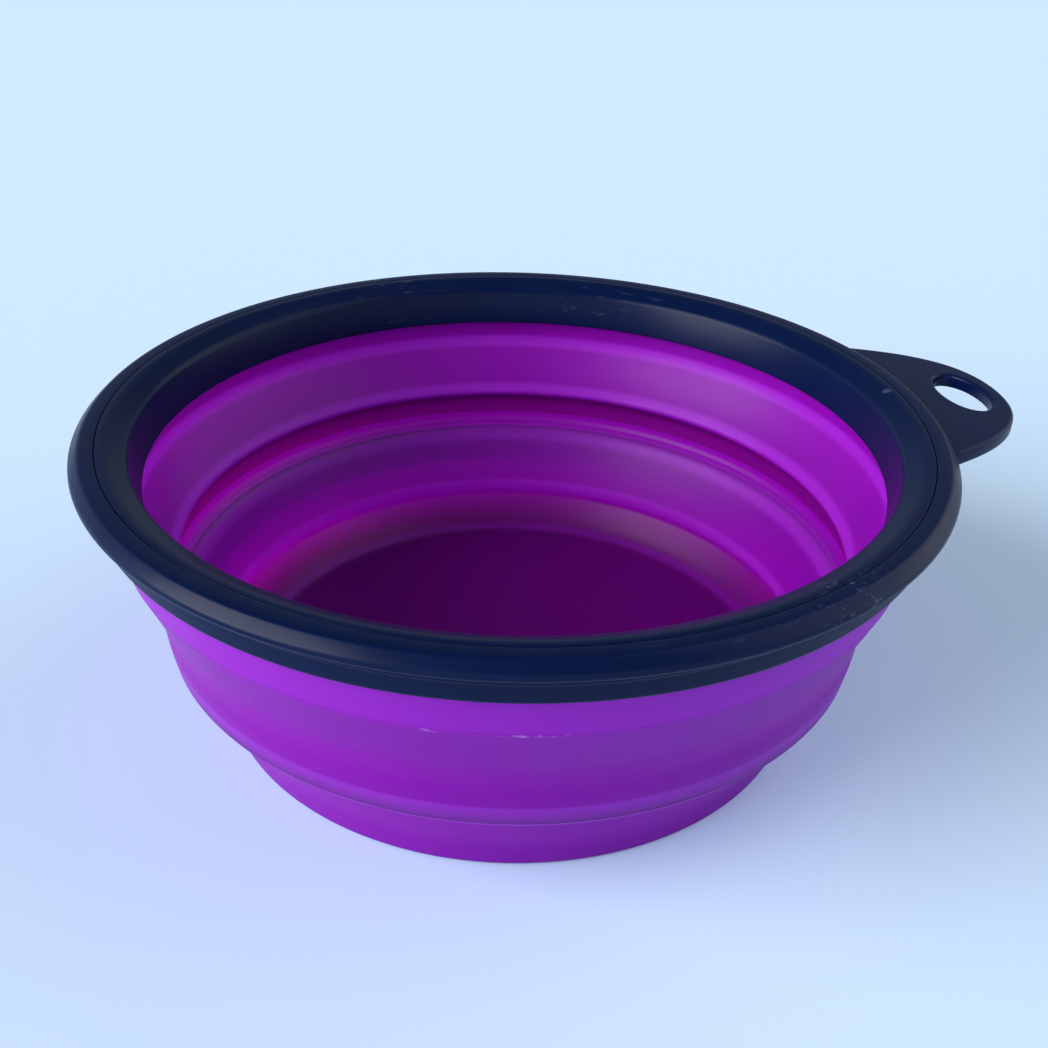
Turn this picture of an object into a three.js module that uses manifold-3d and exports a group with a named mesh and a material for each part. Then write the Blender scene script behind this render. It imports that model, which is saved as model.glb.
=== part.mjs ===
// A folding silicone travel bowl.
// Two hard rings clamp the flange of one silicone moulding. The moulding has stiff bands joined by
// thin folds, so the bowl pushes flat: the bands nest inside each other and the rim comes down
// round the base. Each band and each fold is a node of its own, because they move apart.
// Millimetres, +Z up. The origin is the centre of the flat base, and the hang tab points along +X.

import * as THREE from 'three';
import { mergeVertices } from 'three/addons/utils/BufferGeometryUtils.js';
import Module from 'manifold-3d';

const wasm = await Module();
wasm.setup();

// ---- driving dimensions ----

const ROUND_STEPS = 60; // flats round each turned piece

const GAP = 0.3; // between pieces that touch
const NEST_GAP = 0.35; // radial room for a band to slide round the one below it

// Rim: the outer ring and the clamp ring inside it.
const RIM_RADIUS = 65;
const BEAD_WIDTH = 3.7; // outermost bead to the seam between the two rings
const BEAD_DEPTH = 2.7;
const CROWN_WIDTH = 4.4; // seam to the mouth of the bowl
const CROWN_THICKNESS = 2;
const CROWN_LAND = 1.2; // flat strip beside the seam
const MOUTH_DROP = 1.2; // from that strip the crown slopes down to the mouth
const MOUTH_ROUND = 0.7; // rounding at the mouth
const RIM_DEPTH = 7.3; // crown to the bottom edges of both rings
const SKIRT_INSET = 2.6; // skirt's face inside the bead
const SKIRT_WALL = 1.45;
const CLAMP_WALL = 1.6;
const CLAMP_TAPER = 1.5; // the mouth narrows by this much down the clamp ring's wall
const SNAP_DEPTH = 0.6; // snap bead that holds the clamp ring in the outer ring
const SNAP_HALF_HEIGHT = 0.4;
const FLANGE_THICKNESS = 2.2; // silicone lip trapped between the rings

// Hang tab, one moulding with the outer ring.
const TAB_REACH = 14.3; // tip beyond the bead
const TAB_HALF_WIDTH = 20.8; // where it leaves the bead
const TAB_SHOULDER = [9.7, 16.9]; // pull of the flank's curve: along from the root, half width
const TAB_NOSE = 11.8; // pull of the blunt tip: half width
const TAB_THICKNESS = 2.3;
const TAB_DROP = 1.2; // top face below the crown
const TAB_ROOT = 2.9; // how far it runs into the ring
const HOLE_WIDTH = 7.2; // an oval, longest across the tab
const HOLE_LENGTH = 14;
const HOLE_MARGIN = 2.5; // hole to tip

// Silicone, from the base up.
const BASE_EDGE = 0.8; // rounding under the base
const BASE_FLARE = 0.25; // the cup widens by this much to its top
const FLOOR_THICKNESS = 2.6;
const BASE_CUP_HEIGHT = 4.9;
const BASE_CUP_WALL = 1.9;
const LOWER_FOLD_HEIGHT = 4.4;
const LOWER_FOLD_SPREAD = 2.2; // the fold widens by this much to its top
const LOWER_FOLD_WALL = 1.6;
const MIDDLE_BAND_HEIGHT = 10.7;
const MIDDLE_BAND_SPREAD = 4.8; // inside, from its ridge to its crest
const MIDDLE_BAND_CREST = 3.3; // wall at the crest
const LIP_HEIGHT = 5.2; // sharp outer edge above the band's lowest point
const LIP_DEPTH = 1.3; // underside of that edge
const LIP_SETBACK = 0.8; // edge inside the band's widest point
const UPPER_FOLD_HEIGHT = 13.7;
const UPPER_FOLD_SPREAD = 4.75; // outside, from bottom to top
const UPPER_WEB_WALL = 1.6;
const UPPER_WEB_HEIGHT = 5; // thin web, up to the ridge
const UPPER_RIDGE_HEIGHT = 6.7; // ridge above the fold's lower edge
const UPPER_RIDGE_WALL = 5.6;
const UPPER_RIDGE_SPREAD = 2.1; // outside, from the fold's bottom to the ridge
const TOP_BAND_HEIGHT = 5.4; // silicone that shows between the upper fold and the rim
const TOP_BAND_SPREAD = 1.1;
const TOP_BAND_WALL = 3.2;

// ---- levels, from the base up ----

const lowerFoldBottom = BASE_CUP_HEIGHT + GAP;
const lowerFoldTop = lowerFoldBottom + LOWER_FOLD_HEIGHT;
const middleBandBottom = lowerFoldTop + GAP;
const middleBandTop = middleBandBottom + MIDDLE_BAND_HEIGHT;
const upperFoldBottom = middleBandTop + GAP;
const upperFoldTop = upperFoldBottom + UPPER_FOLD_HEIGHT;
const topBandBottom = upperFoldTop + GAP;
const ringBottom = topBandBottom + TOP_BAND_HEIGHT;
const crownHeight = ringBottom + RIM_DEPTH;
const mouthHeight = crownHeight - MOUTH_DROP - MOUTH_ROUND;
const crownUnderside = crownHeight - CROWN_THICKNESS;
const snapHeight = (crownHeight + crownUnderside) / 2;
const flangeTop = crownUnderside - GAP;
const flangeUnderside = flangeTop - FLANGE_THICKNESS;
const ledgeHeight = flangeUnderside - GAP;

// ---- radii, from the rim inwards, so that each band still slides inside the next ----

const seamRadius = RIM_RADIUS - BEAD_WIDTH;
const mouthRadius = seamRadius - CROWN_WIDTH;
const skirtRadius = RIM_RADIUS - SKIRT_INSET;
const skirtInner = skirtRadius - SKIRT_WALL;
const ringSeamFace = seamRadius + GAP / 2;
const clampSeamFace = seamRadius - GAP / 2;
const topBandOuter = skirtInner - GAP;
const topBandLower = topBandOuter - TOP_BAND_SPREAD;
const middleOuter = topBandLower - UPPER_FOLD_SPREAD;
const middleCrestRadius = middleOuter - MIDDLE_BAND_CREST;
const lowerRidgeRadius = middleCrestRadius - MIDDLE_BAND_SPREAD;
const lowerFoldOuter = lowerRidgeRadius + LOWER_FOLD_SPREAD;
const cupRadius = lowerRidgeRadius - NEST_GAP;
const baseRadius = cupRadius - BASE_FLARE;

// Radius of the clamp ring's sloping wall at a height: 0 is its inner face, CLAMP_WALL its outer.
function clampWallRadius(z, depth) {
  const slope = CLAMP_TAPER / (mouthHeight - ringBottom);
  return mouthRadius + depth - slope * (mouthHeight - z);
}

// ---- helpers ----

// A round stretch of an outline, as points on an arc, from one angle to another in degrees.
function arc(centreR, centreZ, radius, fromDegrees, toDegrees, steps) {
  const points = [];
  for (let i = 0; i <= steps; i += 1) {
    const angle = THREE.MathUtils.degToRad(fromDegrees + ((toDegrees - fromDegrees) * i) / steps);
    points.push([centreR + radius * Math.cos(angle), centreZ + radius * Math.sin(angle)]);
  }
  return points;
}

// Turns a half section of [radius, height] points round +Z. The points run anticlockwise.
function turn(section) {
  const points = section.map(([radius, height]) => new THREE.Vector2(radius, height));
  if (points[0].x > 0) {
    points.push(points[0].clone());
  }
  const geometry = new THREE.LatheGeometry(points, ROUND_STEPS);
  geometry.rotateX(Math.PI / 2);
  return geometry;
}

function toSolid(geometry) {
  const bare = geometry.index ? geometry.toNonIndexed() : geometry.clone();
  bare.deleteAttribute('normal');
  bare.deleteAttribute('uv');
  const merged = mergeVertices(bare, 1e-4);
  const mesh = new wasm.Mesh({
    numProp: 3,
    vertProperties: new Float32Array(merged.attributes.position.array),
    triVerts: new Uint32Array(merged.index.array),
  });
  return new wasm.Manifold(mesh);
}

function toGeometry(solid) {
  const mesh = solid.getMesh();
  const geometry = new THREE.BufferGeometry();
  geometry.setAttribute('position', new THREE.BufferAttribute(mesh.vertProperties, 3));
  geometry.setIndex(new THREE.BufferAttribute(mesh.triVerts, 1));
  geometry.computeVertexNormals();
  return geometry;
}

// ---- materials ----

const navyPlastic = new THREE.MeshStandardMaterial({ color: 0x16243e, roughness: 0.38, metalness: 0 });
const clampPlastic = new THREE.MeshStandardMaterial({ color: 0x18263f, roughness: 0.34, metalness: 0 });
const purpleSilicone = new THREE.MeshStandardMaterial({ color: 0x7d1fb0, roughness: 0.55, metalness: 0 });

// ---- pieces ----

// Section of the outer ring: a round bead over a plain skirt, a groove for the clamp ring's snap
// bead, and a ledge that the silicone flange rests on.
function rimRingSection() {
  const beadRound = BEAD_DEPTH / 2;
  const beadUnderside = crownHeight - BEAD_DEPTH;
  const skirtCorner = 0.4;
  return [
    [skirtInner, ringBottom],
    [skirtRadius - skirtCorner, ringBottom],
    [skirtRadius, ringBottom + skirtCorner],
    [skirtRadius, beadUnderside - skirtCorner],
    [skirtRadius + skirtCorner / 2, beadUnderside],
    ...arc(RIM_RADIUS - beadRound, crownHeight - beadRound, beadRound, -90, 90, 8),
    [ringSeamFace, crownHeight],
    [ringSeamFace, snapHeight + SNAP_HALF_HEIGHT + GAP],
    [ringSeamFace + SNAP_DEPTH, snapHeight + GAP],
    [ringSeamFace + SNAP_DEPTH, snapHeight - GAP],
    [ringSeamFace, snapHeight - SNAP_HALF_HEIGHT - GAP],
    [ringSeamFace, ledgeHeight],
    [skirtInner, ledgeHeight],
  ];
}

// The hang tab: straight out of the bead, flanks that curve in to a blunt tip, and an oval hole
// across it.
function hangTab() {
  const tip = RIM_RADIUS + TAB_REACH;
  const root = Math.sqrt(RIM_RADIUS ** 2 - TAB_HALF_WIDTH ** 2);
  const innerRoot = RIM_RADIUS - TAB_ROOT;
  const rootAngle = Math.atan2(TAB_HALF_WIDTH, root);
  const [shoulderAlong, shoulderHalf] = TAB_SHOULDER;
  const outline = new THREE.Shape();
  outline.moveTo(innerRoot * Math.cos(rootAngle), -innerRoot * Math.sin(rootAngle));
  outline.lineTo(root, -TAB_HALF_WIDTH);
  outline.bezierCurveTo(root + shoulderAlong, -shoulderHalf, tip, -TAB_NOSE, tip, 0);
  outline.bezierCurveTo(tip, TAB_NOSE, root + shoulderAlong, shoulderHalf, root, TAB_HALF_WIDTH);
  outline.lineTo(innerRoot * Math.cos(rootAngle), innerRoot * Math.sin(rootAngle));
  outline.absarc(0, 0, innerRoot, rootAngle, -rootAngle, true);

  const holeCentre = tip - HOLE_MARGIN - HOLE_WIDTH / 2;
  const hole = new THREE.Path();
  hole.absellipse(holeCentre, 0, HOLE_WIDTH / 2, HOLE_LENGTH / 2, 0, 2 * Math.PI, false, 0);
  outline.holes.push(hole);

  const tab = new THREE.ExtrudeGeometry(outline, {
    depth: TAB_THICKNESS,
    bevelEnabled: false,
    curveSegments: 12,
  });
  tab.translate(0, 0, crownHeight - TAB_DROP - TAB_THICKNESS);
  return tab;
}

function rimRing() {
  const ring = toSolid(turn(rimRingSection()));
  return toGeometry(ring.add(toSolid(hangTab())));
}

// The clamp ring snaps into the outer ring from above. Its crown covers the silicone flange, and
// its wall runs down inside the silicone.
function clampRing() {
  const foot = 0.4;
  return turn([
    [clampWallRadius(ringBottom, foot), ringBottom],
    [clampWallRadius(ringBottom, CLAMP_WALL), ringBottom],
    [clampWallRadius(crownUnderside, CLAMP_WALL), crownUnderside],
    [clampSeamFace, crownUnderside],
    [clampSeamFace, snapHeight - SNAP_HALF_HEIGHT],
    [clampSeamFace + SNAP_DEPTH, snapHeight - GAP / 2],
    [clampSeamFace + SNAP_DEPTH, snapHeight + GAP / 2],
    [clampSeamFace, snapHeight + SNAP_HALF_HEIGHT],
    [clampSeamFace, crownHeight],
    [clampSeamFace - CROWN_LAND, crownHeight],
    ...arc(mouthRadius + MOUTH_ROUND, mouthHeight, MOUTH_ROUND, 110, 180, 3),
    [clampWallRadius(ringBottom + foot, 0), ringBottom + foot],
  ]);
}

// The silicone's top band: its lip rests on the outer ring's ledge under the clamp ring's crown, and
// its wall comes out below the rim.
function topBand() {
  const shoulder = (topBandBottom + ringBottom) / 2;
  return turn([
    [topBandLower - TOP_BAND_WALL, topBandBottom],
    [topBandLower, topBandBottom],
    [topBandOuter - TOP_BAND_SPREAD / 4, shoulder],
    [topBandOuter, ringBottom],
    [topBandOuter, flangeUnderside],
    [clampSeamFace, flangeUnderside],
    [clampSeamFace, flangeTop],
    [clampWallRadius(flangeTop, CLAMP_WALL + GAP), flangeTop],
    [clampWallRadius(ringBottom, CLAMP_WALL + GAP), ringBottom],
    [clampWallRadius(ringBottom, CLAMP_WALL), shoulder],
  ]);
}

// The upper fold: a thick ridge that stands into the bowl, and a thin web under it.
function upperFold() {
  const bottomOuter = middleOuter;
  const webTop = upperFoldBottom + UPPER_WEB_HEIGHT;
  const ridge = upperFoldBottom + UPPER_RIDGE_HEIGHT;
  const lowerBend = (upperFoldBottom + webTop) / 2;
  const ridgeOuter = bottomOuter + UPPER_RIDGE_SPREAD;
  return turn([
    [bottomOuter - UPPER_WEB_WALL, upperFoldBottom],
    [bottomOuter, upperFoldBottom],
    [bottomOuter + UPPER_FOLD_SPREAD * 0.12, lowerBend],
    [ridgeOuter, ridge],
    [topBandLower - (topBandLower - ridgeOuter) * 0.45, (ridge + upperFoldTop) / 2],
    [topBandLower, upperFoldTop],
    [topBandLower - TOP_BAND_WALL, upperFoldTop],
    [ridgeOuter - UPPER_RIDGE_WALL + 0.6, ridge + 1.5],
    [ridgeOuter - UPPER_RIDGE_WALL, ridge],
    [ridgeOuter - UPPER_RIDGE_WALL + 0.5, ridge - 1.2],
    [bottomOuter - UPPER_WEB_WALL + 0.1, webTop],
  ]);
}

// The middle band: a stiff wedge with a crest at its inner top, a rounded ridge at its inner foot
// and a sharp lip outside.
function middleBand() {
  const lip = middleBandBottom + LIP_HEIGHT;
  const ridge = middleBandBottom + 0.7;
  const crestDrop = 0.6;
  return turn([
    [lowerRidgeRadius + 0.8, middleBandBottom],
    [lowerFoldOuter, middleBandBottom],
    [lowerFoldOuter + 0.6, lip - LIP_DEPTH - 0.9],
    [lowerFoldOuter + 1.4, lip - LIP_DEPTH],
    [middleOuter - LIP_SETBACK, lip],
    [middleOuter - LIP_SETBACK / 4, (lip + middleBandTop) / 2],
    [middleOuter, middleBandTop],
    [middleCrestRadius + 0.4, middleBandTop],
    [middleCrestRadius, middleBandTop - crestDrop],
    [lowerRidgeRadius + MIDDLE_BAND_SPREAD * 0.6, (ridge + middleBandTop) / 2 + 0.8],
    [lowerRidgeRadius, ridge],
  ]);
}

// The lower fold: a thin web from the base cup out to the middle band's foot.
function lowerFold() {
  const outerBottom = lowerFoldOuter - LOWER_FOLD_SPREAD;
  const bend = lowerFoldBottom + LOWER_FOLD_HEIGHT * 0.7;
  return turn([
    [outerBottom - BASE_CUP_WALL, lowerFoldBottom],
    [outerBottom, lowerFoldBottom],
    [lowerFoldOuter - 0.1, lowerFoldTop],
    [lowerFoldOuter - LOWER_FOLD_WALL, lowerFoldTop],
    [lowerFoldOuter - LOWER_FOLD_WALL - 0.3, bend],
  ]);
}

// The base cup: the flat floor with a low rounded edge.
function baseCup() {
  const edge = cupRadius - BASE_CUP_WALL;
  const fillet = BASE_CUP_HEIGHT - FLOOR_THICKNESS;
  return turn([
    [0, 0],
    [baseRadius - BASE_EDGE, 0],
    [baseRadius - BASE_EDGE * 0.3, BASE_EDGE * 0.3],
    [baseRadius, BASE_EDGE],
    [cupRadius, BASE_CUP_HEIGHT],
    [edge, BASE_CUP_HEIGHT],
    [edge - fillet * 0.4, BASE_CUP_HEIGHT - fillet * 0.25],
    [edge - fillet, FLOOR_THICKNESS],
    [0, FLOOR_THICKNESS],
  ]);
}

// ---- assembly ----

const pieces = [
  ['rim_ring', rimRing, navyPlastic],
  ['clamp_ring', clampRing, clampPlastic],
  ['top_band', topBand, purpleSilicone],
  ['upper_fold', upperFold, purpleSilicone],
  ['middle_band', middleBand, purpleSilicone],
  ['lower_fold', lowerFold, purpleSilicone],
  ['base_cup', baseCup, purpleSilicone],
];

const bowl = new THREE.Group();
for (const [name, make, material] of pieces) {
  const mesh = new THREE.Mesh(make(), material);
  mesh.name = name;
  bowl.add(mesh);
}

export default bowl;
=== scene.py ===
# %% [markdown]
# # A folding silicone travel bowl
#
# The real bowl is three pieces: one soft silicone moulding, a hard outer ring with a hang tab, and
# a hard clamp ring that snaps into it and traps the silicone's lip between them. This lesson turns
# each of them from its section, as a potter would from a template, and gives it its finish.

# %% Load the fixed frame
import math

import bmesh
import bpy
from mathutils import Matrix, Vector


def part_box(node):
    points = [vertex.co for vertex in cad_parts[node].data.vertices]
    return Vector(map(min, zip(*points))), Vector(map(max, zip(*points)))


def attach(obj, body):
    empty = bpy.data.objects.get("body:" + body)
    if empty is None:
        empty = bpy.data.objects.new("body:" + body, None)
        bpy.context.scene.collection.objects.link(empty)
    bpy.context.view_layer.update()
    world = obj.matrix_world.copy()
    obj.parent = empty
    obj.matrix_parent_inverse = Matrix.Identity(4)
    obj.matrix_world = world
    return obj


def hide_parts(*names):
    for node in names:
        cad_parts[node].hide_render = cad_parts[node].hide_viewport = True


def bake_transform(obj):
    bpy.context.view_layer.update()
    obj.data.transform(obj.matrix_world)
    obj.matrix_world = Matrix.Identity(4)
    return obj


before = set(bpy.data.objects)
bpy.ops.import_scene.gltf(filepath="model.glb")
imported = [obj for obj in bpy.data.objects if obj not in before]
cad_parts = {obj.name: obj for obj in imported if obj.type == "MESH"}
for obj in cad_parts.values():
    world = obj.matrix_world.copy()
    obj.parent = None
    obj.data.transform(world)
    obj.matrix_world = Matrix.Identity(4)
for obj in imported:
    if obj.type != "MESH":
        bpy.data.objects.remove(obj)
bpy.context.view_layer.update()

# %% [markdown]
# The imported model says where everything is. Its boxes give the radii and the levels that the
# sections below are drawn from. A section is easiest to read in millimetres, so they are turned
# into millimetres here and back into metres when a mesh is made.

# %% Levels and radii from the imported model
MM = 0.001


def levels(node):
    """A node's foot, its top and its radius, in millimetres."""
    low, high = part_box(node)
    return low.z / MM, high.z / MM, high.y / MM


ring_foot, seam_z, rim_r = levels("rim_ring")
_, crown_z, snap_r = levels("clamp_ring")
_, cup_z, cup_r = levels("base_cup")
band_foot, band_z, band_r = levels("middle_band")
shoulder_z, lip_z, lip_r = levels("top_band")
fold_foot, fold_z, fold_r = levels("upper_fold")
web_foot, _, web_r = levels("lower_fold")
tab_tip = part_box("rim_ring")[1].x / MM
print(f"rim {rim_r:.1f} mm, tab tip {tab_tip:.1f}, crown {crown_z:.1f}, seam {seam_z:.1f} mm")

# %% [markdown]
# The boxes don't say how the rim is divided or how thick its walls are. The sizes that more than
# one section needs are written once here, in millimetres, so the two rings and the silicone's lip
# between them stay in step.

# %% Sizes inside the rim
SKIRT_WALL = 1.45
CLAMP_WALL = 1.6
SNAP_FIT = 0.15  # how far each ring stands back from the seam, below its hairline
SEAM_HALF = 0.08

seam_r = rim_r - 3.7
skirt_r = rim_r - 2.6
mouth_r = seam_r - 4.4
bead_foot = seam_z - 2.7
snap_z = seam_z - 1.0
ledge_z = lip_z - 2.5
roof_z = crown_z - 2.0
print(f"seam at {seam_r:.1f} mm, skirt at {skirt_r:.1f}, mouth at {mouth_r:.1f} mm")

# %% [markdown]
# Every turned piece is made the same way. A few corners are joined into a closed outline, each
# corner is rounded by bevelling its vertex, and the outline is spun round the vertical axis. A
# vertex bevel cuts the same distance off both edges, so each corner is written as radius, height
# and how much of its edges the rounding takes. A Screw modifier would turn an outline too, but a
# spin leaves a plain mesh that the boolean further down can work on.

# %% Shading and clean-up that every mesh gets
SHARP = math.radians(32)
WELD = 1e-7


def finish_mesh(bm, name):
    """Cleans a bmesh, marks its sharp edges and puts it in the scene."""
    bmesh.ops.remove_doubles(bm, verts=bm.verts, dist=WELD)
    bmesh.ops.dissolve_degenerate(bm, dist=WELD, edges=bm.edges)
    bmesh.ops.recalc_face_normals(bm, faces=bm.faces)
    for face in bm.faces:
        face.smooth = True
    for edge in bm.edges:
        edge.smooth = edge.calc_face_angle(0) < SHARP
    mesh = bpy.data.meshes.new(name)
    bm.to_mesh(mesh)
    bm.free()
    piece = bpy.data.objects.new(name, mesh)
    bpy.context.scene.collection.objects.link(piece)
    print(f"{name}: {len(mesh.polygons)} faces")
    return piece


# %% A turned piece
SPIN_STEPS = 192
LARGE_ROUNDING = 0.6


def outline(bm, corners, closed):
    """Joins corners of (radius, height, rounding) in the XZ plane and rounds them."""
    verts = [bm.verts.new((r * MM, 0, z * MM)) for r, z, _ in corners]
    ends = verts[1:] + verts[:1] if closed else verts[1:]
    for here, there in zip(verts, ends):
        bm.edges.new((here, there))
    for size in sorted({rounding for _, _, rounding in corners if rounding}):
        chosen = [v for v, corner in zip(verts, corners) if corner[2] == size]
        bmesh.ops.bevel(
            bm, geom=chosen, offset=size * MM, offset_type="OFFSET", affect="VERTICES",
            segments=8 if size >= LARGE_ROUNDING else 4, profile=0.5, material=-1,
            clamp_overlap=False,
        )


def turned(name, corners, closed=True):
    """Spins an outline round the Z axis. An open outline starts and ends on the axis."""
    bm = bmesh.new()
    outline(bm, corners, closed)
    bmesh.ops.spin(
        bm, geom=bm.verts[:] + bm.edges[:], cent=(0, 0, 0), axis=(0, 0, 1), dvec=(0, 0, 0),
        angle=math.tau, steps=SPIN_STEPS, use_merge=True, use_normal_flip=False,
        use_duplicate=False,
    )
    return finish_mesh(bm, name)


# %% [markdown]
# ## The outer ring
#
# Seen in section it is a bead with a bevelled shoulder over a plain skirt, with a small raised
# line just under the bead. Inside, a shallow groove takes the clamp ring's snap bead and a ledge
# carries the silicone's lip. The two rings are drawn closer together here than in the model, so
# the seam is a hairline.

# %% Turn the outer ring
SHOULDER = 1.45
LINE_RAISE = 0.3

outer_ring = turned("outer_ring", [
    (skirt_r - SKIRT_WALL, ring_foot, 0.15),
    (skirt_r, ring_foot, 0.55),
    (skirt_r, bead_foot - 1.9, 0.2),
    (skirt_r + LINE_RAISE, bead_foot - 1.6, 0.15),
    (skirt_r + LINE_RAISE, bead_foot - 1.1, 0.2),
    (skirt_r - LINE_RAISE / 2, bead_foot - 0.75, 0.15),
    (skirt_r, bead_foot, 0.12),
    (rim_r, bead_foot, 1.1),
    (rim_r, seam_z - SHOULDER, 0.4),
    (rim_r - SHOULDER, seam_z, 0.35),
    (seam_r + SEAM_HALF, seam_z, 0.07),
    (seam_r + SEAM_HALF, seam_z - 0.25, 0.05),
    (seam_r + SNAP_FIT, seam_z - 0.3, 0),
    (seam_r + SNAP_FIT, snap_z + 0.7, 0),
    (seam_r + 0.75, snap_z + 0.3, 0),
    (seam_r + 0.75, snap_z - 0.3, 0),
    (seam_r + SNAP_FIT, snap_z - 0.7, 0),
    (seam_r + SNAP_FIT, ledge_z, 0.1),
    (skirt_r - SKIRT_WALL, ledge_z, 0.1),
])

# %% [markdown]
# ## The hang tab
#
# The tab is part of the same moulding. Its flanks curve in to a blunt nose, with an oval hole
# across it. A hole could be cut with a second solid, but here half of the tab's top is drawn as
# one face that goes round half of the hole. The other half mirrors it, and extruding both down
# gives the thickness, so the hole's edges take the same bevel as the flanks.

# %% Draw half of the tab's top
TAB_TOP = crown_z - 1.2
TAB_THICKNESS = 2.3
ROOT_HALF_WIDTH = 20.8
HOLE_HALF_WIDTH = 3.6
HOLE_HALF_LENGTH = 7.0
HOLE_MARGIN = 2.5
ROOT_POINTS, FLANK_POINTS, HOLE_POINTS = 12, 28, 32


def flank(t):
    """How far out and how far aside the tab's edge is, from the ring at 0 to the nose at 1."""
    root = math.sqrt(rim_r**2 - ROOT_HALF_WIDTH**2)
    a, b, c, d = (1 - t) ** 3, 3 * t * (1 - t) ** 2, 3 * t * t * (1 - t), t**3
    out = a * root + b * (root + 9.7) + (c + d) * tab_tip
    aside = a * ROOT_HALF_WIDTH + b * 16.9 + c * 11.8
    return out, aside


root_r = rim_r - 2.9
root_angle = math.atan2(flank(0)[1], flank(0)[0])
hole_x = tab_tip - HOLE_MARGIN - HOLE_HALF_WIDTH
half = []
for i in range(ROOT_POINTS + 1):
    angle = root_angle * i / ROOT_POINTS
    half.append((root_r * math.cos(angle), root_r * math.sin(angle)))
for i in range(FLANK_POINTS + 1):
    half.append(flank(i / FLANK_POINTS))
for i in range(HOLE_POINTS + 1):
    angle = math.pi * i / HOLE_POINTS
    half.append((hole_x + HOLE_HALF_WIDTH * math.cos(angle), HOLE_HALF_LENGTH * math.sin(angle)))
print("points round half of the tab:", len(half))

# %% Give the tab its thickness and its rounded edges
TAB_ROUNDING = 0.55
SQUARE_EDGE = 1.2  # radians between two faces, so only the tab's outline and hole are chosen

bm = bmesh.new()
for mirror in (1, -1):
    bm.faces.new([bm.verts.new((x * MM, mirror * y * MM, TAB_TOP * MM)) for x, y in half])
bmesh.ops.remove_doubles(bm, verts=bm.verts, dist=WELD)
bmesh.ops.recalc_face_normals(bm, faces=bm.faces)
grown = bmesh.ops.extrude_face_region(bm, geom=bm.faces[:])
under = [v for v in grown["geom"] if isinstance(v, bmesh.types.BMVert)]
bmesh.ops.translate(bm, verts=under, vec=(0, 0, -TAB_THICKNESS * MM))
bmesh.ops.recalc_face_normals(bm, faces=bm.faces)
rims = [
    e for e in bm.edges
    if e.calc_face_angle(0) > SQUARE_EDGE and abs(e.verts[0].co.z - e.verts[1].co.z) < 1e-6
]
bmesh.ops.bevel(
    bm, geom=rims, offset=TAB_ROUNDING * MM, offset_type="OFFSET", affect="EDGES", segments=5,
    profile=0.5, material=-1, clamp_overlap=True,
)
tab = finish_mesh(bm, "tab")

# %% [markdown]
# On the real ring there is no joint between ring and tab, so the two are made one solid by a
# boolean union. The union leaves big flat faces on the tab, which shade badly when they are
# smooth, so those are set flat.

# %% Join the tab to the ring
FLAT_AREA = 12  # square millimetres


def union(piece, other):
    """Adds another solid to a piece for good."""
    join = piece.modifiers.new("join", "BOOLEAN")
    join.operation = "UNION"
    join.solver = "EXACT"
    join.object = other
    bpy.context.view_layer.update()
    joined = bpy.data.meshes.new_from_object(
        piece.evaluated_get(bpy.context.evaluated_depsgraph_get()))
    piece.modifiers.clear()
    piece.data = joined
    bpy.data.objects.remove(other)
    bm = bmesh.new()
    bm.from_mesh(joined)
    for edge in bm.edges:
        edge.smooth = edge.calc_face_angle(0) < SHARP
    for face in bm.faces:
        face.smooth = face.calc_area() < FLAT_AREA * MM * MM
    bm.to_mesh(joined)
    bm.free()


union(outer_ring, tab)
print("outer ring with its tab:", len(outer_ring.data.polygons), "faces")

# %% [markdown]
# ## The clamp ring
#
# It snaps into the outer ring from above, so a fine dark seam runs between them. Its crown is
# flat beside the seam and slopes down into the bowl's mouth, and its wall runs down inside the
# silicone.

# %% Turn the clamp ring
clamp_r = mouth_r - 1.5

clamp_ring = turned("clamp_ring_skin", [
    (clamp_r, ring_foot, 0.4),
    (clamp_r + CLAMP_WALL, ring_foot, 0.2),
    (mouth_r + CLAMP_WALL - 0.2, roof_z, 0.2),
    (seam_r - SNAP_FIT, roof_z, 0.1),
    (seam_r - SNAP_FIT, snap_z - 0.4, 0),
    (snap_r, snap_z - 0.15, 0),
    (snap_r, snap_z + 0.15, 0),
    (seam_r - SNAP_FIT, snap_z + 0.4, 0),
    (seam_r - SNAP_FIT, seam_z - 0.3, 0),
    (seam_r - SEAM_HALF, seam_z - 0.25, 0.05),
    (seam_r - SEAM_HALF, crown_z, 0.07),
    (seam_r - 1.3, crown_z, 0.8),
    (mouth_r + 0.03, crown_z - 1.42, 0.62),
])

# %% [markdown]
# ## The silicone
#
# The moulding is stiff bands joined by thin webs, and it folds at the webs. One skin for all of it
# would be simplest, but a skin that bends can bend across only one joint. So the moulding is made
# in two that meet inside the middle band, from its sharp outer lip to its inner crest, where the
# real surface breaks anyway.

# %% Corners that both halves share
band_lip = (band_r - 0.8, band_foot + 4.95)
band_meet = (band_r - 2.9, band_z - 0.05)
print(f"the halves meet at a height of {band_lip[1]:.1f} mm outside and {band_meet[1]:.1f} inside")

# %% Turn the lower half: the floor, the lower fold and the middle band's foot
FLOOR_THICKNESS = 2.6

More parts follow.
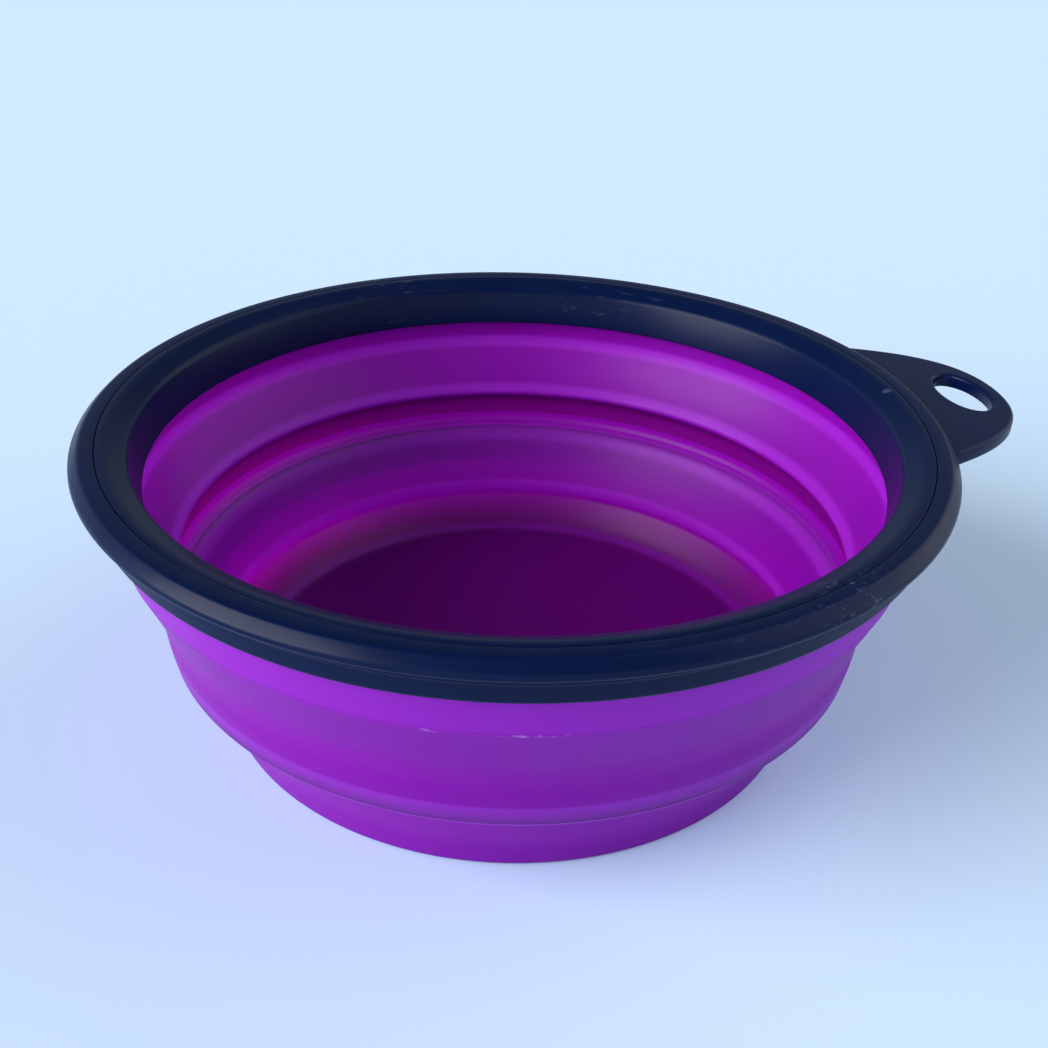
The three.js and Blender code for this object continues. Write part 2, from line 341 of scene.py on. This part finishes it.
lower_silicone = turned("lower_silicone", [
    (0, 0, 0),
    (cup_r - 0.35, 0, 0.8),
    (cup_r + 0.35, cup_z - 0.6, 1.5),
    (web_r + 0.6, band_foot + 1.8, 1.3),
    (web_r + 1.7, band_lip[1] - 1.1, 0.8),
    (band_lip[0] - 0.25, band_lip[1] - 0.45, 0.25),
    (*band_lip, 0),
    (*band_meet, 0),
    (band_r - 3.7, band_z - 0.55, 0.85),
    (band_r - 5.9, band_z - 4.9, 2.6),
    (cup_r + 0.2, band_foot - 0.1, 1.15),
    (cup_r + 0.75, band_foot - 1.5, 0.5),
    (cup_r - 0.2, web_foot + 1.9, 0.9),
    (cup_r - 1.8, cup_z + 0.1, 0.7),
    (cup_r - 3.0, cup_z - 1.1, 0.7),
    (cup_r - 5.0, FLOOR_THICKNESS, 0.9),
    (0, FLOOR_THICKNESS, 0),
], closed=False)

# %% Turn the upper half: the middle band's top, the upper fold and the lip under the rim
upper_silicone = turned("upper_silicone", [
    (*band_lip, 0),
    (band_r - 0.05, band_z - 1.8, 1.6),
    (band_r + 0.05, fold_foot + 2.3, 3.0),
    (fold_r - 0.42, fold_z - 1.4, 0.1),
    (fold_r - 0.33, fold_z - 1.3, 0.08),
    (fold_r - 0.3, fold_z - 1.0, 0.12),
    (lip_r - 0.5, ring_foot + 0.1, 1.2),
    (lip_r - 0.5, ledge_z + 0.3, 0),
    (lip_r, ledge_z + 0.3, 0.15),
    (lip_r, lip_z, 0.15),
    (mouth_r + 1.7, lip_z, 0.1),
    (mouth_r + 0.45, ring_foot - 0.4, 0.5),
    (mouth_r + 0.5, shoulder_z + 1.3, 1.3),
    (mouth_r - 2.4, fold_z - 3.3, 1.9),
    (mouth_r - 5.8, fold_foot + 6.6, 1.15),
    (band_r - 1.45, fold_foot + 5.0, 0.9),
    (band_r - 1.5, fold_foot + 0.6, 0.7),
    (*band_meet, 0),
])

# %% [markdown]
# ## Materials
#
# Shader maths is easier to read as sums than as boxes and wires, so one small class wraps a socket
# and turns Python's operators into Math nodes.

# %% A socket that can be added and multiplied
class Wire:
    """One output socket. Sums on it make Math nodes and give new wires."""

    def __init__(self, tree, socket):
        self.tree = tree
        self.socket = socket

    def math(self, operation, *values):
        return add(self.tree, "ShaderNodeMath", {"operation": operation}, dict(enumerate(values)))

    def root(self):
        return self.math("SQRT", self)

    def __add__(self, other):
        return self.math("ADD", self, other)

    def __sub__(self, other):
        return self.math("SUBTRACT", self, other)

    def __rsub__(self, other):
        return self.math("SUBTRACT", other, self)

    def __mul__(self, other):
        return self.math("MULTIPLY", self, other)

    def __gt__(self, other):
        return self.math("GREATER_THAN", self, other)

    __radd__ = __add__
    __rmul__ = __mul__


# %% Any other node
def add(tree, kind, settings=None, values=None, output=0):
    """Adds a node, sets it up, fills its sockets with numbers or wires, and returns one output."""
    node = tree.nodes.new(kind)
    for key, value in (settings or {}).items():
        setattr(node, key, value)
    for key, value in (values or {}).items():
        if isinstance(value, Wire):
            tree.links.new(value.socket, node.inputs[key])
        else:
            node.inputs[key].default_value = value
    return Wire(tree, node.outputs[output])


# %% [markdown]
# The finishes share a few ingredients: a noise, a smooth step, a blend of two colours, the
# distance from a place on the piece, and dust.

# %% Ingredients of the finishes
def linear(red, green, blue):
    """A colour given as it looks on a screen, 0 to 255, as the light values that shaders use."""
    channels = (c / 255 for c in (red, green, blue))
    return tuple(c / 12.92 if c <= 0.04045 else ((c + 0.055) / 1.055) ** 2.4 for c in channels)


def new_material(name, constants):
    """A Principled material with its constant sockets set. Returns material, tree and shader."""
    material = bpy.data.materials.new(name)
    material.use_nodes = True
    tree = material.node_tree
    shader = tree.nodes["Principled BSDF"]
    for key, value in constants.items():
        shader.inputs[key].default_value = value
    return material, tree, shader


def mix_colour(tree, factor, low, high):
    """Blends two colours, each a tuple or a wire, by a factor."""
    colours = [c if isinstance(c, Wire) else (*c, 1) for c in (low, high)]
    return add(tree, "ShaderNodeMix", {"data_type": "RGBA"},
               {0: factor, 6: colours[0], 7: colours[1]}, output=2)


def noise(tree, place, scale, detail=2.0, roughness=0.5):
    return add(tree, "ShaderNodeTexNoise", {},
               {"Vector": place, "Scale": scale, "Detail": detail, "Roughness": roughness})


def ramp(tree, value, low, high):
    """0 below low, 1 above high, smooth between. With low above high it falls instead."""
    return add(tree, "ShaderNodeMapRange", {"interpolation_type": "SMOOTHSTEP"},
               {"Value": value, "From Min": low, "From Max": high, "To Min": 0.0, "To Max": 1.0})


def axes(tree, place):
    """The three coordinates of a place or a direction."""
    return [add(tree, "ShaderNodeSeparateXYZ", {}, {0: place}, output=i) for i in range(3)]


def distance_from(centre, x, y):
    """How far a place is, seen from above, from a centre given in millimetres."""
    off_x, off_y = x - centre[0] * MM, y - centre[1] * MM
    return (off_x * off_x + off_y * off_y).root()


def dust(tree, place, patch):
    """Tiny specks, one in each cell of a fine pattern, only where the patch is bright."""
    cells = add(tree, "ShaderNodeTexVoronoi", {"feature": "F1"}, {"Vector": place, "Scale": 520.0})
    return ramp(tree, cells, 0.07, 0.03) * patch


def set_bump(tree, shader, relief, strength):
    """Turns a height in metres into the shader's normal."""
    bump = add(tree, "ShaderNodeBump", {},
               {"Height": relief, "Strength": strength, "Distance": 1.0})
    tree.links.new(bump.socket, shader.inputs["Normal"])


# %% [markdown]
# ### Silicone
#
# Moulded silicone is satin and a little translucent: light that enters it spreads some
# millimetres before it leaves, so thin lips glow and folds are deep in colour. Subsurface
# scattering gives that glow. Light and shade on the relief are also painted into the colour by
# height, inside and outside apart: painted highlights on the inner crests, painted shade in the
# inner folds and on the floor, and two lighter painted bands of light outside.

# %% Heights in millimetres of the painted highlights, painted shade and painted bands of light
# heights and half widths of the painted highlights along the inner crests
PAINTED_CREST_HIGHLIGHTS = ((36.1, 1.5), (28.4, 1.3), (19.6, 1.9), (10.1, 1.7))
# heights and half widths of the painted shade in the inner folds and on the floor
PAINTED_FOLD_SHADE = ((24.2, 3.4), (6.0, 3.0), (1.8, 1.6))
# heights, half widths and strengths of two lighter painted bands of light outside
PAINTED_LIGHT_STRIPES = ((37.4, 4.4, 0.35), (15.9, 2.4, 0.5))
DIVIDE_FOOT, DIVIDE_SLOPE = 43.7, 0.42  # a cone that stays within the wall, from foot to rim


def near(tree, height, level, half_width, core=0.3):
    """1 at a level in millimetres, fading to 0 at half_width above and below it."""
    away = height - level * MM
    away = away.math("ABSOLUTE", away)
    return ramp(tree, away, half_width * MM, half_width * core * MM)


def silicone_colour_and_painted_light(tree, height, inside, cloud):
    """The silicone's colour with painted highlights, shade and bands of light, before dust and
    wear.
    """
    colour = mix_colour(tree, cloud, linear(128, 4, 160), linear(137, 7, 168))
    crest_highlights = sum(near(tree, height, level, reach_to) for level, reach_to in PAINTED_CREST_HIGHLIGHTS) * inside
    fold_shade = sum(near(tree, height, level, reach_to, 0.6) for level, reach_to in PAINTED_FOLD_SHADE) * inside
    light_stripes = sum(near(tree, height, level, reach_to, 0.75) * much
                  for level, reach_to, much in PAINTED_LIGHT_STRIPES)
    # painted highlight: the inner crests are made paler where light catches them
    colour = mix_colour(tree, crest_highlights * 0.45, colour, linear(172, 46, 218))
    # painted shade: the inner folds and the floor are made darker where little light reaches
    colour = mix_colour(tree, fold_shade * 0.8, colour, linear(98, 0, 106))
    # painted light: two lighter bands outside, under the rim and just above the middle band's lip
    return mix_colour(tree, light_stripes * (1 - inside), colour, linear(165, 50, 215))


print(len(PAINTED_CREST_HIGHLIGHTS), "crests,", len(PAINTED_FOLD_SHADE), "folds and", len(PAINTED_LIGHT_STRIPES), "outer stripes")

# %% [markdown]
# The parting line of the mould runs round the outside under the rim, where scraps of flash have
# worn pale, most of all on one stretch. The skin copies the fine spark texture of the mould, and
# it holds a little lint and dust.

# %% Make the silicone
FLASH_Z = fold_z - 1.32
FLASH_AT = (-13.4, -57.7)


def flash(tree, place, x, y, height):
    """Scraps of pale flash along the parting line."""
    line = near(tree, height, FLASH_Z, 0.35)
    scraps = ramp(tree, noise(tree, place, 620.0, 2.0), 0.5, 0.6)
    ragged = ramp(tree, distance_from(FLASH_AT, x, y), 0.0105, 0.0075)
    worn = ramp(tree, noise(tree, place, 60.0, 1.0), 0.56, 0.66)
    return scraps * line * ragged.math("MAXIMUM", ragged, worn)


def silicone_material():
    material, tree, shader = new_material("purple_silicone", {
        "IOR": 1.41, "Specular IOR Level": 0.22, "Subsurface Weight": 0.6,
        "Subsurface Radius": (1.0, 0.06, 0.75), "Subsurface Scale": 0.014,
    })
    place = add(tree, "ShaderNodeTexCoord", output=3)
    x, y, height = axes(tree, place)
    reach = (x * x + y * y).root()
    inside = DIVIDE_FOOT * MM + height * DIVIDE_SLOPE > reach
    cloud = noise(tree, place, 55.0, 3.0)
    specks = dust(tree, place, ramp(tree, noise(tree, place, 38.0, 2.0), 0.5, 0.75))
    scraps = flash(tree, place, x, y, height) * (1 - inside)

    colour = silicone_colour_and_painted_light(tree, height, inside, cloud)
    colour = mix_colour(tree, specks * 0.3 + scraps * 0.45, colour, linear(200, 165, 225))
    tree.links.new(colour.socket, shader.inputs["Base Color"])

    grain = noise(tree, place, 2600.0, 2.0)
    rough = 0.4 + (cloud - 0.5) * 0.12 + (grain - 0.5) * 0.1
    tree.links.new(rough.socket, shader.inputs["Roughness"])

    swell = noise(tree, place, 90.0, 2.0)
    set_bump(tree, shader, grain * 0.000012 + swell * 0.00006 + specks * 0.00004, 0.6)
    return material


silicone = silicone_material()
print("made", silicone.name)

# %% [markdown]
# ### Rim plastic
#
# The rings are a navy polypropylene with a soft gloss. Handling leaves fine scratches that run
# round the ring, one paler rubbed patch on the bead, and a little dust. The clamp ring keeps the
# small mark of the gate it was moulded through, near the tab. A noise on plain coordinates would
# give round blots, so for the scratches the ring is unrolled and squeezed along its length.

# %% Make the rim plastic
RUB_AT = (30.4, -56.2)
GATE_AT = (59.8, -0.3)
UNROLL = 0.012  # metres of pattern for each radian round the ring


def rim_scuffs(tree, place, x, y, height):
    """Scratches that run round the ring, and the rubbed patch."""
    reach = (x * x + y * y).root()
    around = y.math("ARCTAN2", y, x)
    unrolled = add(tree, "ShaderNodeCombineXYZ", {}, {0: around * UNROLL, 1: reach, 2: height})
    streaks = ramp(tree, noise(tree, unrolled, 1500.0, 3.0, 0.6), 0.6, 0.72)
    knocked = ramp(tree, noise(tree, place, 26.0, 2.0), 0.56, 0.7)
    flecks = ramp(tree, noise(tree, place, 900.0, 3.0, 0.6), 0.56, 0.66)
    rubbed = ramp(tree, distance_from(RUB_AT, x, y), 0.0085, 0.002)
    return streaks * knocked + flecks * rubbed


def rim_material():
    material, tree, shader = new_material(
        "navy_plastic", {"IOR": 1.46, "Specular IOR Level": 0.17})
    place = add(tree, "ShaderNodeTexCoord", output=3)
    x, y, height = axes(tree, place)
    cloud = noise(tree, place, 70.0, 3.0)
    scuffs = rim_scuffs(tree, place, x, y, height)
    gate = ramp(tree, distance_from(GATE_AT, x, y), 0.0008, 0.0004)
    specks = dust(tree, place, ramp(tree, noise(tree, place, 44.0, 1.0), 0.5, 0.7))

    colour = mix_colour(tree, cloud, linear(1, 17, 55), linear(3, 22, 64))
    pale = scuffs * 0.22 + specks * 0.25 + gate * 0.2
    colour = mix_colour(tree, pale, colour, linear(120, 138, 165))
    tree.links.new(colour.socket, shader.inputs["Base Color"])

    rough = 0.3 + (cloud - 0.5) * 0.1 + scuffs * 0.2 + specks * 0.2
    tree.links.new(rough.socket, shader.inputs["Roughness"])

    grain = noise(tree, place, 1900.0, 2.0)
    swell = noise(tree, place, 120.0, 2.0)
    relief = grain * 0.000006 + swell * 0.00005 - scuffs * 0.00001 + gate * 0.0001
    set_bump(tree, shader, relief, 0.5)
    return material


navy = rim_material()
print("made", navy.name)

# %% [markdown]
# ## Put the pieces on the frame
#
# The two rings ride on the rim. The two halves of the silicone take their finish and have their
# place baked into their mesh, and the model's own parts are hidden.

# %% Finish and mount
for piece in (outer_ring, clamp_ring):
    piece.data.materials.clear()
    piece.data.materials.append(navy)
    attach(piece, "rim")
for piece in (lower_silicone, upper_silicone):
    piece.data.materials.clear()
    piece.data.materials.append(silicone)

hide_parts("rim_ring")
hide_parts("clamp_ring")
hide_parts("base_cup", "lower_fold", "middle_band")
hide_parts("upper_fold", "top_band")
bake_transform(lower_silicone)
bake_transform(upper_silicone)

# %% [markdown]
# ## Floor, light and camera
#
# The bowl stands on a pale blue sweep. The camera sees a little of the floor's own colour in its
# shadows, as it would under a bright room, so the floor glows faintly for the camera alone and
# puts no extra light on the bowl.

# %% Floor
FLOOR_COLOUR = (*linear(209, 232, 255), 1)
FLOOR_GLOW = 0.13


def floor_material():
    material, tree, shader = new_material(
        "pale_floor", {"Roughness": 0.9, "Specular IOR Level": 0.0, "Base Color": FLOOR_COLOUR})
    seen = add(tree, "ShaderNodeLightPath", output=0)
    plain = add(tree, "ShaderNodeEmission", {},
                {"Color": FLOOR_COLOUR, "Strength": seen * FLOOR_GLOW})
    shown = add(tree, "ShaderNodeAddShader", {}, {0: Wire(tree, shader.outputs[0]), 1: plain})
    tree.links.new(shown.socket, tree.nodes["Material Output"].inputs["Surface"])
    return material


bm = bmesh.new()
bmesh.ops.create_circle(bm, cap_ends=True, segments=96, radius=6.0)
floor = finish_mesh(bm, "floor")
floor.data.materials.append(floor_material())
floor.location.z = -0.00005

# %% [markdown]
# Two soft distant lamps light it: a broad window, low on the left, and a weaker and softer one
# from the right that stands for the rest of the room. Directions are given round the camera's own
# right, so the turn of the tab against it is taken off.

# %% Lamps
TAB_TURN = math.radians(11.8)


def sun(name, strength, spread, towards, height):
    """A soft distant light. towards is the compass way it shines, height its angle above."""
    lamp = bpy.data.lights.new(name, "SUN")
    lamp.energy = strength
    lamp.angle = math.radians(spread)
    lamp.color = (1.0, 1.0, 1.0)
    holder = bpy.data.objects.new(name, lamp)
    bpy.context.scene.collection.objects.link(holder)
    way = math.radians(towards) - TAB_TURN
    rise = math.radians(height)
    aim = Vector((math.cos(way) * math.cos(rise), math.sin(way) * math.cos(rise), -math.sin(rise)))
    holder.rotation_euler = aim.to_track_quat("-Z", "Y").to_euler()
    print(name, "shines with strength", strength)


sun("window", strength=3.4, spread=50, towards=23, height=26)
sun("room", strength=0.95, spread=70, towards=195, height=35)

# %% [markdown]
# The sky is brighter near the horizon than overhead, and brighter behind the camera and on its
# left than ahead of it, as a room is. The camera doesn't see that sky: it sees the plain colour of
# the floor, so the sweep has no hard end.

# %% Sky
world = bpy.data.worlds.new("sky")
bpy.context.scene.world = world
world.use_nodes = True
sky = world.node_tree
sky.nodes.clear()
aside, ahead, climb = axes(sky, add(sky, "ShaderNodeTexCoord"))
glow = (0.68 - ramp(sky, climb, 0.2, 0.65) * 0.5) * (1.0 - aside * 0.2 - ahead * 0.4)
lighting = add(sky, "ShaderNodeBackground", {}, {"Color": (0.78, 0.9, 1.0, 1), "Strength": glow})
backdrop = add(sky, "ShaderNodeBackground", {}, {"Color": FLOOR_COLOUR, "Strength": 1.0})
seen = add(sky, "ShaderNodeLightPath", output=0)
shown = add(sky, "ShaderNodeMixShader", {}, {0: seen, 1: lighting, 2: backdrop})
out = sky.nodes.new("ShaderNodeOutputWorld")
sky.links.new(shown.socket, out.inputs[0])
print("sky has", len(sky.nodes), "nodes")

# %% [markdown]
# The camera stands in front of the bowl and looks down into it. It is placed by its distance and
# its rise over the middle of the rim, then turned a little off that line in pitch, yaw and roll.

# %% Camera
CAMERA_DISTANCE = 3.25 * seam_r * MM
CAMERA_RISE = math.radians(24.9273)
CAMERA_PITCH = CAMERA_RISE + math.radians(4.8648)
CAMERA_YAW = math.radians(0.415)
CAMERA_ROLL = math.radians(1.558)
LENS, SENSOR = 45.260107, 36


def place_camera():
    forward = Vector((0, math.cos(CAMERA_PITCH), -math.sin(CAMERA_PITCH)))
    right = Vector((1, 0, 0))
    up = right.cross(forward)
    view = forward * math.cos(CAMERA_YAW) + right * math.sin(CAMERA_YAW)
    across = right * math.cos(CAMERA_YAW) - forward * math.sin(CAMERA_YAW)
    side_way = across * math.cos(CAMERA_ROLL) + up * math.sin(CAMERA_ROLL)
    up_way = up * math.cos(CAMERA_ROLL) - across * math.sin(CAMERA_ROLL)
    pose = Matrix((side_way, up_way, -view)).transposed().to_4x4()
    pose.translation = Vector((
        0,
        -CAMERA_DISTANCE * math.cos(CAMERA_RISE),
        CAMERA_DISTANCE * math.sin(CAMERA_RISE) + seam_z * MM,
    ))
    camera = bpy.data.cameras.new("camera")
    camera.sensor_width = SENSOR
    camera.lens = LENS
    holder = bpy.data.objects.new("camera", camera)
    holder.matrix_world = Matrix.Rotation(-TAB_TURN, 4, "Z") @ pose
    bpy.context.scene.collection.objects.link(holder)
    bpy.context.scene.camera = holder
    return holder


camera = place_camera()
bpy.context.scene.view_settings.view_transform = "Standard"
print("camera at", [round(v, 4) for v in camera.location])

# %% Update the scene
bpy.context.view_layer.update()
